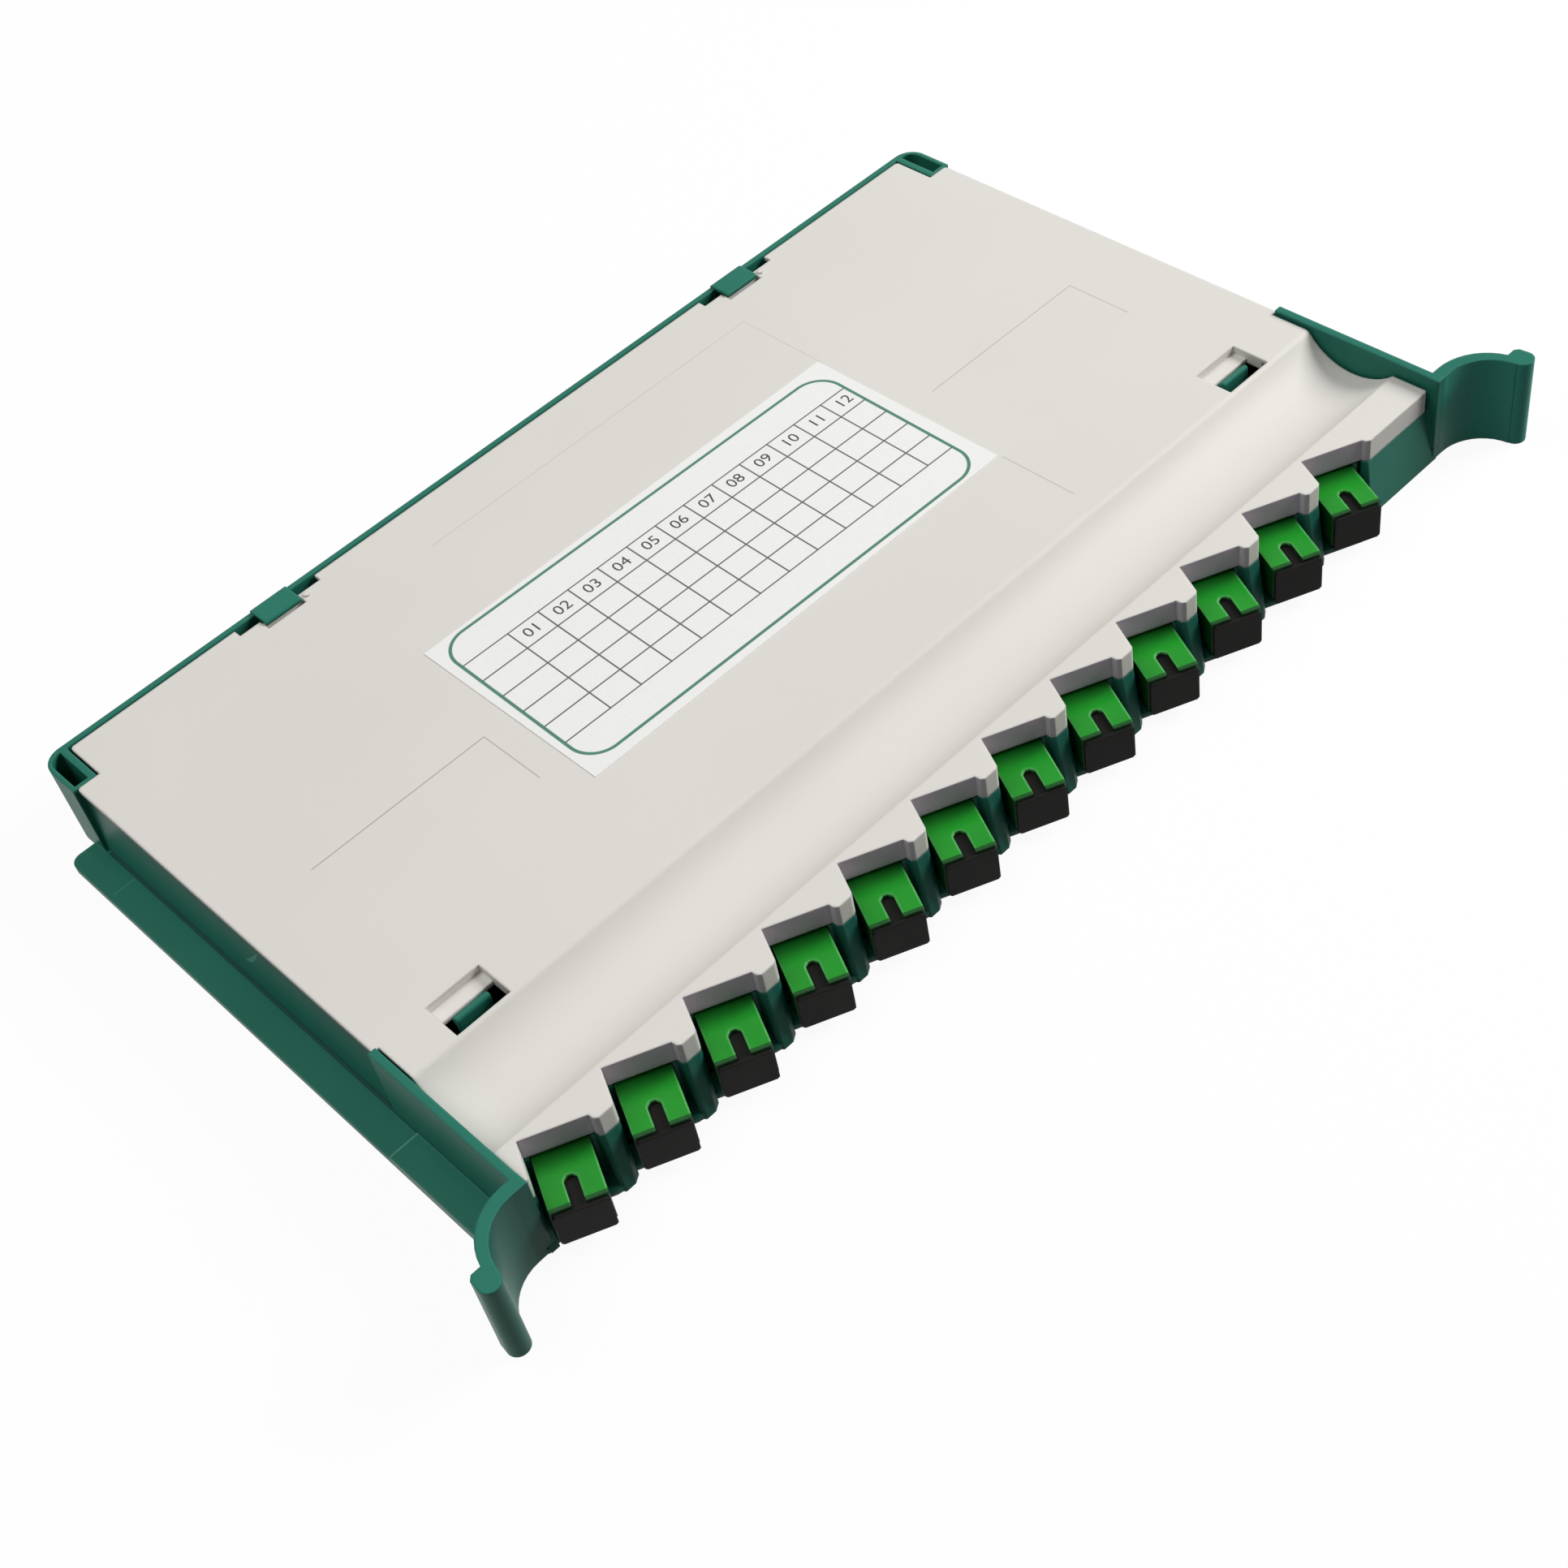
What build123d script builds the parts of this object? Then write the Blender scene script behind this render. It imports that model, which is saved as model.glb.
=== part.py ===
from build123d import *
import os
from math import cos, radians, sin, sqrt

os.makedirs("parts", exist_ok=True)

# Driving sizes in mm. X runs along the row of ports, -Y is the port side, Z is up.
body_half = 150.0
back_y = 97.5
ear_tip_half = 170.0
tray_height = 25.0
floor_thick = 1.6
wall_thick = 1.6
port_count = 12
port_pitch = 22.9
first_port_x = -142.8
port_y = -72.4
port_angle = 25.0
running_gap = 0.1

# Lid plate and its folded front
lid_top = 24.0
lid_thick = 1.2
lid_front_thick = 1.5
lid_rear_half = 149.2
lid_front_half = 147.6
lid_step_y = -34.0
lid_rear_y = 95.2
valley_y = -59.3
valley_z = 33.6
valley_radius = 16.9
fold_radius = 2.0
front_top = 21.4
front_y = -81.0
lip_bottom = 15.0
corner_cut_x = 142.9
corner_cut_y = 82.1

# Hinge line
hinge_y = 91.6
hinge_z = 22.7
pin_radius = 1.0
hook_xs = (-82.0, 76.5)
hook_width = 11.0
hook_front_y = 90.3
hook_bottom = 23.8
hook_top = 24.9
notch_y = 89.0

# Latch windows
window_centres = (-127.6, 124.6)
window_width = 14.6
window_rear_y = -33.8
window_front_y = -44.6
ledge_front_y = -38.0
ledge_top = 21.9
latch_width = 9.0

# Adapter shell, measured across and along one port from its corner point
shell_width = 12.6
shell_height = 9.3
shell_centre_u = 7.6
shell_bottom = 4.7
shell_front = 13.9
shell_rear = -12.9
bore_width = 9.1
bore_height = 7.5
flange_width = 16.0
flange_bottom = 1.7
flange_top = 14.4
flange_front = -1.6
flange_rear = -3.3
key_width = 3.0
key_length = 7.2

# Dust cap
face_width = 12.2
face_bottom = 3.3
face_top = 13.2
face_thick = 0.85
plug_width = 8.9
plug_height = 7.2
plug_length = 9.0
plug_wall = 0.9

angle = radians(port_angle)
ux, uy = cos(angle), -sin(angle)
vx, vy = -sin(angle), -cos(angle)


def port_point(index, u, v):
    """Plan point of one port's own (across, outward) measures."""
    corner_x = first_port_x + port_pitch * index
    return (corner_x + u * ux + v * vx, port_y + u * uy + v * vy)


port_frames = [
    Plane(origin=(first_port_x + port_pitch * index, port_y, 0), x_dir=(ux, uy, 0), z_dir=(0, 0, 1))
    for index in range(port_count)
]
shell_centre_z = shell_bottom + shell_height / 2
last = port_count - 1


def step_points(index, reach):
    """Corner, back end, jog foot and tip of the stair behind one port, the fronts pushed out by reach."""
    corner_x = first_port_x + port_pitch * index
    jog_x = 14.0 if index < last else 15.1
    return [
        port_point(index, 0, 0),
        port_point(index, 15.2 if index < last else 16.2, 0),
        (corner_x + jog_x + reach * vx, front_y + reach * vy),
        port_point(index + 1, 0, 9.5 + reach),
    ]


def blunted(points, cuts):
    """Closed outline with each corner cut back by its own length; 0 leaves it sharp."""
    outline = []
    for spot, cut in enumerate(cuts):
        corner = Vector(points[spot])
        if cut == 0:
            outline.append(corner)
            continue
        for other in (Vector(points[spot - 1]), Vector(points[(spot + 1) % len(points)])):
            outline.append(corner + (other - corner).normalized() * cut)
    return outline


stud_spots = [(-27, 2), (27, 2), (-27, 46), (27, 46)]

# TRAY: everything that is alike on the left and on the right, made on the right first
rail_half = 158.2
# the ears keep their proportions to the length by which they stand out of the body
ear_reach = ear_tip_half - body_half
ear_outer = 0.715 * ear_reach
ear_inner = 0.6 * ear_reach
rod_radius = 0.135 * ear_reach
rod_x = ear_tip_half - rod_radius
ear_root_y = -80.4
ear_x = body_half + 0.125 * ear_reach
ear_y = ear_root_y - ear_outer
ear_inner_y = ear_y - 0.05 * ear_reach
rod_rise = 0.185 * ear_reach
rod_shoulder = 0.065 * ear_reach
with BuildPart() as tray:
    # rear stretch of the side wall, leaning in towards the top
    with BuildSketch(Plane.XZ.offset(-corner_cut_y - 1)):
        with BuildLine():
            Polyline((149.8, 0), (148.2, 22.7), (146.6, 22.7), (148.2, 0), close=True)
        make_face()
    extrude(amount=corner_cut_y + 1 + 34.2)
    # raised front stretch of the side wall
    with BuildSketch():
        with Locations((149.4, (-81.2 - 34.2) / 2)):
            Rectangle(2.0, 81.2 - 34.2)
    extrude(amount=tray_height)
    # full-height corner column with its open pocket
    with BuildSketch():
        with BuildLine():
            FilletPolyline(
                (143.6, 82.2), (150.4, 82.2), (150.4, back_y), (143.6, back_y),
                radius=[0, 0, 5.5, 0], close=True,
            )
        make_face()
    extrude(amount=lid_top)
    with BuildSketch(Plane.XY.offset(lid_top)):
        with BuildLine():
            FilletPolyline(
                (145.4, 83.3), (149.2, 83.3), (149.2, 95.9), (145.4, 95.9),
                radius=[0, 0, 3.4, 0], close=True,
            )
        make_face()
    extrude(amount=-20.0, mode=Mode.SUBTRACT)
    # back wall
    with BuildSketch():
        with Locations((72.5, back_y - wall_thick / 2)):
            Rectangle(145.0, wall_thick)
    extrude(amount=lid_top)
    # slide rail, thicker in its front stretch
    with BuildSketch():
        with BuildLine():
            FilletPolyline(
                (149.0, -81.4), (rail_half, -81.4), (rail_half, 87.0), (149.0, 87.0),
                radius=[0, 0, 3, 0], close=True,
            )
        make_face()
    extrude(amount=2.2)
    with BuildSketch():
        with Locations(((149.0 + rail_half) / 2, (-81.4 - 42.0) / 2)):
            Rectangle(rail_half - 149.0, 81.4 - 42.0)
    extrude(amount=3.4)
    # pull ear: arc plate, thicker at its root, ending in a rod
    with BuildSketch():
        with Locations((ear_x, ear_y)):
            Circle(ear_outer)
        with Locations((ear_x, ear_inner_y)):
            Circle(ear_inner, mode=Mode.SUBTRACT)
        with Locations((ear_x - 1.5 * ear_reach, ear_y), (ear_x + ear_reach, ear_y - 1.5 * ear_reach)):
            Rectangle(3 * ear_reach, 3 * ear_reach, mode=Mode.SUBTRACT)
        with Locations(((148.4 + ear_x) / 2, (ear_root_y + ear_inner_y + ear_inner) / 2)):
            Rectangle(ear_x + 0.2 - 148.4, ear_root_y - ear_inner_y - ear_inner)
        with Locations((rod_x, ear_y)):
            Circle(rod_radius)
        with BuildLine():
            Polyline(
                (rod_x - rod_radius, ear_y), (rod_x - rod_radius, ear_y + rod_rise),
                (ear_tip_half - rod_shoulder, ear_y + rod_rise),
                (ear_tip_half - 0.015 * ear_reach, ear_y + rod_rise - 0.05 * ear_reach),
                (ear_tip_half, ear_y), close=True,
            )
        make_face()
    extrude(amount=tray_height)
    mirror(about=Plane.YZ)

    # floor, its port side cut to the stair
    floor_outline = [(-body_half, 92.0), (-body_half, front_y - 2.9), (-147.3, front_y - 2.9)]
    floor_cuts = [0, 0, 0]
    for index in range(port_count):
        corner, rear_end, jog, tip = step_points(index, 4.1 if index < last else 2.9)
        floor_outline += [port_point(index, 0, 6.0), port_point(index, 14.5, 6.0), jog, tip]
        floor_cuts += [0, 0, 1.0, 1.3]
    floor_outline[-1] = (body_half, front_y - 2.6)
    floor_cuts[-1] = 0
    floor_outline += [(body_half, 92.0), (144.5, back_y), (-144.5, back_y)]
    floor_cuts += [0, 0, 0]
    with BuildSketch():
        with BuildLine():
            Polyline(*blunted(floor_outline, floor_cuts), close=True)
        make_face()
    extrude(amount=floor_thick)

    # webs: one hollow wedge between each two ports, leaning outward to the floor
    webs = []
    hollows = []
    for index in range(port_count - 1):
        low = step_points(index, 4.6)
        high = step_points(index, 0)
        next_back = port_point(index + 1, 0, -1.5)
        own_back = port_point(index, 16.0, -1.5)
        with BuildSketch(Plane.XY):
            with BuildLine():
                low_side = [low[1], low[2], low[3], port_point(index + 1, 0, 0), next_back, own_back]
                Polyline(*blunted(low_side, [0, 1.0, 1.3, 0, 0, 0]), close=True)
            make_face()
        with BuildSketch(Plane.XY.offset(lip_bottom)):
            with BuildLine():
                high_side = [high[1], high[2], high[3], port_point(index + 1, 0, 0), next_back, own_back]
                Polyline(*blunted(high_side, [0, 0.7, 0.6, 0, 0, 0]), close=True)
            make_face()
        webs.append(loft(ruled=True, mode=Mode.PRIVATE))
    for index in range(port_count - 1):
        corner_x = first_port_x + port_pitch * index
        inner_back = port_point(index + 1, -1.5, -2.5)
        with BuildSketch(Plane.XY.offset(floor_thick)):
            with BuildLine():
                Polyline(
                    (corner_x + 15.8, inner_back[1] - 2), (corner_x + 14.2, front_y - 2.3),
                    port_point(index + 1, -1.5, 12.0), inner_back, close=True,
                )
            make_face()
        with BuildSketch(Plane.XY.offset(lip_bottom)):
            with BuildLine():
                Polyline(
                    (corner_x + 15.8, inner_back[1] - 2), (corner_x + 15.5, front_y + 1.5),
                    port_point(index + 1, -1.5, 8.5), inner_back, close=True,
                )
            make_face()
        hollows.append(loft(ruled=True, mode=Mode.PRIVATE))

    # left end wedge and right end block
    with BuildSketch(Plane.XY):
        with BuildLine():
            Polyline(
                port_point(0, 0, -1.5), (-147.3, front_y - 3.2), (-149.5, front_y - 3.2), (-149.5, -70),
                close=True,
            )
        make_face()
    with BuildSketch(Plane.XY.offset(lip_bottom)):
        with BuildLine():
            Polyline(
                port_point(0, 0, -1.5), port_point(0, 0, 9.5), (-149.0, front_y), (-149.0, -70),
                close=True,
            )
        make_face()
    webs.append(loft(ruled=True, mode=Mode.PRIVATE))
    end_low = step_points(last, 3.2)
    end_high = step_points(last, 0)
    end_back = port_point(last, 17.2, -1.5)
    with BuildSketch(Plane.XY):
        with BuildLine():
            Polyline(
                end_low[1], end_low[2], (149.5, front_y - 2.9), (149.5, -74), (end_back[0], -74), end_back,
                close=True,
            )
        make_face()
    with BuildSketch(Plane.XY.offset(lip_bottom)):
        with BuildLine():
            Polyline(
                end_high[1], end_high[2], (149.0, front_y), (149.0, -74), (end_back[0], -74), end_back,
                close=True,
            )
        make_face()
    webs.append(loft(ruled=True, mode=Mode.PRIVATE))
    with BuildSketch(Plane.XY.offset(floor_thick)):
        with BuildLine():
            Polyline(
                (end_back[0] + 1.5, -70), (end_low[2][0] + 2.6, front_y - 1.6),
                (147.8, front_y - 1.6), (147.8, -70), close=True,
            )
        make_face()
    with BuildSketch(Plane.XY.offset(lip_bottom)):
        with BuildLine():
            Polyline(
                (end_back[0] + 1.5, -70), (end_high[2][0] + 1.8, front_y + 1.5),
                (147.8, front_y + 1.5), (147.8, -70), close=True,
            )
        make_face()
    hollows.append(loft(ruled=True, mode=Mode.PRIVATE))
    add(webs)
    add(hollows, mode=Mode.SUBTRACT)

    # seat wall across each port with an open notch for the adapter, and the low rib behind its flange
    with BuildSketch():
        with Locations(*[port_point(index, shell_centre_u, -0.75) for index in range(port_count)]):
            Rectangle(15.4, 1.5, rotation=-port_angle)
    extrude(amount=lip_bottom - 0.4)
    with BuildSketch(Plane.XY.offset(floor_thick)):
        with Locations(*[port_point(index, shell_centre_u, -0.75) for index in range(port_count)]):
            Rectangle(shell_width + 0.4, 3.0, rotation=-port_angle)
    extrude(amount=tray_height, mode=Mode.SUBTRACT)
    with BuildSketch():
        with Locations(*[port_point(index, shell_centre_u, -4.15) for index in range(port_count)]):
            Rectangle(shell_width, 1.5, rotation=-port_angle)
    extrude(amount=shell_bottom - 0.1)

    # fibre drums: split rings with keeper tabs
    for drum_x in (-95.0, 95.0):
        with BuildSketch():
            with Locations((drum_x, 24.0)):
                Circle(30.0)
                Circle(28.6, mode=Mode.SUBTRACT)
                Rectangle(14.0, 64.0, mode=Mode.SUBTRACT)
        extrude(amount=15.0)
        for tab_side in (-1, 1):
            with BuildSketch(Plane.XY.offset(13.8)):
                with Locations((drum_x + tab_side * 32.5, 24.0)):
                    Rectangle(7.0, 8.0)
            extrude(amount=1.2)
    # keeper tabs on the back wall
    with BuildSketch(Plane.XY.offset(13.8)):
        with Locations(*[(tab_x, 93.4) for tab_x in (-112, -30, 30, 112)]):
            Rectangle(10.0, 6.0)
    extrude(amount=1.2)
    # studs that locate the splice holder
    with BuildSketch():
        with Locations(*stud_spots):
            Rectangle(6.0, 6.0)
    extrude(amount=3.2)
    with BuildSketch():
        with Locations(*stud_spots):
            Rectangle(3.0, 3.0)
    extrude(amount=5.4)
    # cable entries through the back wall with tie slots in the floor before them
    with BuildSketch(Plane.XZ.offset(-back_y - 1)):
        with Locations((-132, 8.0), (132, 8.0)):
            Rectangle(13.0, 5.0)
            Rectangle(9.0, 9.0)
    extrude(amount=4.0, mode=Mode.SUBTRACT)
    with BuildSketch():
        with Locations((-136.5, 80), (-127.5, 80), (127.5, 80), (136.5, 80)):
            Rectangle(2.4, 6.0)
    extrude(amount=floor_thick, mode=Mode.SUBTRACT)

    # hinge hooks from the back wall, with a cradle under each pin
    for hook_x in hook_xs:
        with BuildSketch(Plane.YZ.offset(hook_x - hook_width / 2)):
            with BuildLine():
                FilletPolyline(
                    (hook_front_y, hook_bottom), (hook_front_y, hook_top), (back_y, hook_top),
                    (back_y, hook_bottom - 2), (back_y - wall_thick, hook_bottom - 2),
                    (back_y - wall_thick, hook_bottom),
                    radius=[0, 0.8, 0.6, 0, 0, 0], close=True,
                )
            make_face()
        extrude(amount=hook_width)
        with BuildSketch(Plane.YZ.offset(hook_x - 2.5)):
            with BuildLine():
                Polyline(
                    (89.8, hinge_z - 0.3), (89.8, 19.5), (94.5, 14.0), (back_y - 1, 14.0),
                    (back_y - 1, hinge_z - 0.3), close=True,
                )
            make_face()
            with Locations((hinge_y, hinge_z)):
                Circle(pin_radius + 0.05, mode=Mode.SUBTRACT)
        extrude(amount=5.0)

    # latch blades: upright spring arms with a barb facing back
    for window_x in window_centres:
        with BuildSketch(Plane.YZ.offset(window_x - latch_width / 2)):
            with BuildLine():
                Polyline(
                    (-40.7, 1.0), (-40.7, 22.1), (-40.3, 22.7), (-39.8, 22.7), (ledge_front_y - 0.25, 21.5),
                    (ledge_front_y - 0.25, 20.6), (-39.4, 19.8), (-39.4, 1.0), close=True,
                )
            make_face()
        extrude(amount=latch_width)
tray.part.label = "tray"
export_step(tray.part, "parts/tray.step")


# LID: plate folded down into a valley and up again along the ports
under_radius = valley_radius + lid_front_thick
fold_z = lid_top - fold_radius
fold_y = valley_y + sqrt((valley_radius + fold_radius) ** 2 - (valley_z - fold_z) ** 2)
share = valley_radius / (valley_radius + fold_radius)
valley_rear = (valley_y + share * (fold_y - valley_y), valley_z - share * (valley_z - fold_z))
crease_y = valley_y - sqrt(valley_radius**2 - (valley_z - front_top) ** 2)
under_top = lid_top - lid_thick
under_front = front_top - lid_front_thick
under_fold_y = valley_y + sqrt(under_radius**2 - (valley_z - under_top) ** 2)
under_crease_y = valley_y - sqrt(under_radius**2 - (valley_z - under_front) ** 2)

lid_outline = [(-lid_front_half, front_y), port_point(0, 0, 9.5)]
outline_cuts = [0, 0]
for index in range(port_count):
    lid_outline += step_points(index, 0)
    outline_cuts += [0, 0, 0.7, 0.6]
lid_outline[-1] = (lid_front_half, front_y)
outline_cuts[-1] = 0.4
lid_outline += [
    (lid_front_half, lid_step_y), (lid_rear_half, lid_step_y), (lid_rear_half, corner_cut_y),
    (corner_cut_x, corner_cut_y), (corner_cut_x, lid_rear_y), (-corner_cut_x, lid_rear_y),
    (-corner_cut_x, corner_cut_y), (-lid_rear_half, corner_cut_y), (-lid_rear_half, lid_step_y),
    (-lid_front_half, lid_step_y),
]
outline_cuts += [0, 0, 0.6, 0, 0.6, 0.6, 0, 0.6, 0, 0]

with BuildPart() as lid:
    # lip hanging down along the stair
    with BuildSketch(Plane.XY.offset(lip_bottom + running_gap)):
        with BuildLine():
            Polyline(
                (-lid_front_half, front_y - 3), (lid_front_half, front_y - 3),
                (lid_front_half, -70.5), (-lid_front_half, -70.5), close=True,
            )
        make_face()
    extrude(amount=under_front - lip_bottom)
    # hollow behind the lip
    inner = []
    for index in range(port_count):
        corner_x = first_port_x + port_pitch * index
        jog_x = corner_x + (15.5 if index < last else 16.7)
        inner.append(port_point(index, -1.4 if index else 0.2, -1.5))
        inner.append(port_point(index, 15.9 if index < last else 17.2, -1.5))
        inner.append((jog_x, front_y + 1.5))
        if index < last:
            inner.append(port_point(index + 1, -1.5, 7.1))
    inner += [
        (lid_front_half + 1, front_y + 1.5), (lid_front_half + 1, -60),
        (-lid_front_half - 1, -60), (-lid_front_half - 1, -71.1),
    ]
    with BuildSketch(Plane.XY.offset(lip_bottom)):
        with BuildLine():
            Polyline(*inner, close=True)
        make_face()
    extrude(amount=under_front - lip_bottom, mode=Mode.SUBTRACT)
    # folded plate, trimmed with the lip to the plan outline
    with BuildSketch(Plane.YZ.offset(-lid_rear_half - 1)):
        with BuildLine():
            Polyline(
                (under_fold_y, under_top), (lid_rear_y, under_top), (lid_rear_y, lid_top), (fold_y, lid_top),
            )
            TangentArc((fold_y, lid_top), valley_rear, tangent=(-1, 0))
            ThreePointArc(valley_rear, (valley_y, valley_z - valley_radius), (crease_y, front_top))
            Polyline(
                (crease_y, front_top), (front_y - 2, front_top), (front_y - 2, under_front),
                (under_crease_y, under_front),
            )
            ThreePointArc(
                (under_crease_y, under_front), (valley_y, valley_z - under_radius), (under_fold_y, under_top),
            )
        make_face()
    extrude(amount=2 * lid_rear_half + 2)
    with BuildSketch(Plane.XY):
        with BuildLine():
            Polyline(*blunted(lid_outline, outline_cuts), close=True)
        make_face()
    extrude(amount=tray_height, mode=Mode.INTERSECT)

    # hinge notches, pins and their small bumps
    for hook_x in hook_xs:
        with BuildSketch(Plane.XY.offset(20)):
            with Locations((hook_x + 0.5, lid_rear_y)):
                Rectangle(25.0, 5.0)
            with Locations((hook_x, (notch_y + 97) / 2)):
                Rectangle(hook_width + 0.8, 97 - notch_y)
        extrude(amount=10, mode=Mode.SUBTRACT)
        for end in (-1, 1):
            with BuildSketch(Plane.YZ.offset(hook_x + end * (hook_width / 2 + 1.4) - 1.0)):
                with Locations((hinge_y, hinge_z)):
                    Circle(pin_radius)
                with Locations((hinge_y, hinge_z + 0.6)):
                    Rectangle(2 * pin_radius, 0.9)
            extrude(amount=2.0)
        with BuildSketch(Plane.YZ.offset(hook_x - hook_width / 2 - 1.4)):
            with Locations((hinge_y, hinge_z)):
                Circle(pin_radius)
        extrude(amount=hook_width + 2.8)
        with BuildSketch(Plane.XY.offset(lid_top)):
            with Locations((hook_x + 7.4, 91.0)):
                RegularPolygon(0.9, 8)
        extrude(amount=0.4)

    # latch windows: sunk ledge at the back, open slot at the front
    for window_x in window_centres:
        with BuildSketch(Plane.XY.offset(ledge_top - lid_thick)):
            with Locations((window_x, (window_rear_y + 1.2 + ledge_front_y) / 2)):
                Rectangle(window_width + 2.4, window_rear_y + 1.2 - ledge_front_y)
            with Locations((window_x, -38)):
                with GridLocations(window_width + 1.2, 1, 2, 1):
                    Rectangle(1.2, 10.0)
        extrude(amount=lid_top - ledge_top + lid_thick)
        with BuildSketch(Plane.XY.offset(ledge_top)):
            with Locations((window_x, (window_rear_y + window_front_y) / 2)):
                Rectangle(window_width, window_rear_y - window_front_y)
        extrude(amount=5, mode=Mode.SUBTRACT)
        with BuildSketch(Plane.XY.offset(15)):
            with Locations((window_x, (ledge_front_y + window_front_y) / 2)):
                Rectangle(window_width, ledge_front_y - window_front_y)
        extrude(amount=10, mode=Mode.SUBTRACT)

    # stiffening ribs under the plate
    with BuildSketch(Plane.XY.offset(lid_top - lid_thick - 2.4)):
        with Locations((-102.5, 16.8), (101.0, 16.8)):
            Rectangle(51.0, 1.0)
        with Locations((-77.5, 7.0), (127.0, 7.0)):
            Rectangle(1.0, 20.0)
        with Locations((11.0, 79.0)):
            Rectangle(110.0, 1.0)
        with Locations((66.0, 64.0)):
            Rectangle(1.0, 31.0)
    extrude(amount=2.6)
lid.part.label = "lid"
export_step(lid.part, "parts/lid.step")

with BuildPart() as label_sheet:
    with BuildSketch(Plane.XY.offset(lid_top)):
        with Locations((-1.8, 18.1)):
            Rectangle(134.5, 63.5)
    extrude(amount=0.15)
label_sheet.part.label = "index_label"
export_step(label_sheet.part, "parts/index_label.step")

# SPLICE HOLDER: comb plate that drops over four studs
holder_pitch = 4.2
with BuildPart() as holder:
    with BuildSketch(Plane.XY.offset(3.3)):
        with Locations((0, 24)):
            Rectangle(64.0, 54.0)
        with Locations(*stud_spots):
            Rectangle(3.3, 3.3, mode=Mode.SUBTRACT)
    extrude(amount=1.2)
    with BuildSketch(Plane.XY.offset(4.5)):
        with Locations((0, 11), (0, 37)):
            with GridLocations(holder_pitch, 1, port_count + 1, 1):
                Rectangle(1.1, 9.0)
    extrude(amount=5.5)
holder.part.label = "splice_holder"
export_step(holder.part, "parts/splice_holder.step")

# ADAPTER in its port's own frame: x across, -y outward
mid_y = -(shell_front + shell_rear) / 2
with BuildPart() as shell:
    with BuildSketch(Plane.XY.offset(shell_bottom)):
        with Locations((shell_centre_u, mid_y)):
            Rectangle(shell_width, shell_front - shell_rear)
    extrude(amount=shell_height)
    with BuildSketch(Plane.XY.offset(flange_bottom)):
        with Locations((shell_centre_u, -(flange_front + flange_rear) / 2)):
            Rectangle(flange_width, flange_front - flange_rear)
    extrude(amount=flange_top - flange_bottom)
    for end_y, direction in ((-shell_front, 1), (-shell_rear, -1)):
        with BuildSketch(Plane.XZ.offset(-end_y)):
            with Locations((shell_centre_u, shell_centre_z)):
                Rectangle(bore_width, bore_height)
        extrude(amount=-direction * 12.9, mode=Mode.SUBTRACT)
        with BuildSketch(Plane.XY.offset(shell_centre_z)):
            with Locations((shell_centre_u, end_y + direction * key_length / 2)):
                key_slot = Rectangle(key_width, key_length)
            if direction > 0:
                chamfer(key_slot.vertices().sort_by(Axis.Y)[-2:], 0.9)
        extrude(amount=shell_height, mode=Mode.SUBTRACT)
    with BuildSketch(Plane.XZ.offset(-2)):
        with Locations((shell_centre_u, shell_centre_z)):
            Rectangle(3.5, 3.5)
    extrude(amount=4, mode=Mode.SUBTRACT)

# latch inserts, one on each side of the middle wall, and the ceramic sleeve between them
with BuildPart() as insert:
    for face_y, direction in ((-1.0, -1), (0.0, 1)):
        with BuildSketch(Plane.XZ.offset(-face_y)):
            with Locations((shell_centre_u, shell_centre_z)):
                Rectangle(bore_width - 0.1, bore_height - 0.1)
                Rectangle(3.4, 3.4, mode=Mode.SUBTRACT)
        extrude(amount=-direction * 1.2)
        with BuildSketch(Plane.XZ.offset(-face_y - direction * 1.2)):
            with Locations((shell_centre_u, shell_centre_z)):
                Rectangle(4.6, 4.6)
                Rectangle(3.4, 3.4, mode=Mode.SUBTRACT)
        extrude(amount=-direction * 2.4)
with BuildPart() as sleeve:
    with BuildSketch(Plane.XZ.offset(-5.0)):
        with Locations((shell_centre_u, shell_centre_z)):
            RegularPolygon(1.6, 8)
            RegularPolygon(1.25, 8, mode=Mode.SUBTRACT)
    extrude(amount=11.0)

# DUST CAP in its port's own frame, for the outer end; the inner one is the same piece turned round
with BuildPart() as cap:
    with BuildSketch(Plane.XZ.offset(shell_front + 0.05)):
        with Locations((shell_centre_u, (face_bottom + face_top) / 2)):
            face_plate = Rectangle(face_width, face_top - face_bottom)
        chamfer(face_plate.vertices(), 0.6)
    extrude(amount=face_thick)
    with BuildSketch(Plane.XZ.offset(shell_front + 0.05)):
        with Locations((shell_centre_u, shell_centre_z)):
            Rectangle(plug_width, plug_height)
            Rectangle(plug_width - 2 * plug_wall, plug_height - 2 * plug_wall, mode=Mode.SUBTRACT)
    extrude(amount=-plug_length)
turned = Plane(origin=(2 * shell_centre_u, 2 * mid_y, 0), x_dir=(-1, 0, 0), z_dir=(0, 0, 1))

sleeves = []
for index, frame in enumerate(port_frames):
    number = f"{index + 1:02d}"
    inner_cap = turned.location * cap.part
    for name, piece in (
        ("adapter", shell.part),
        ("latch_insert", insert.part),
        ("outer_cap", cap.part),
        ("inner_cap", inner_cap),
    ):
        placed = frame.location * piece
        placed.label = f"{name}_{number}"
        export_step(placed, f"parts/{name}_{number}.step")
    sleeves += (frame.location * sleeve.part).solids()
ceramics = Compound(children=sleeves)
ceramics.label = "ceramic_sleeves"
export_step(ceramics, "parts/ceramic_sleeves.step")
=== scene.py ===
import math

import bmesh
import bpy
from mathutils import Matrix, Vector


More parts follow.
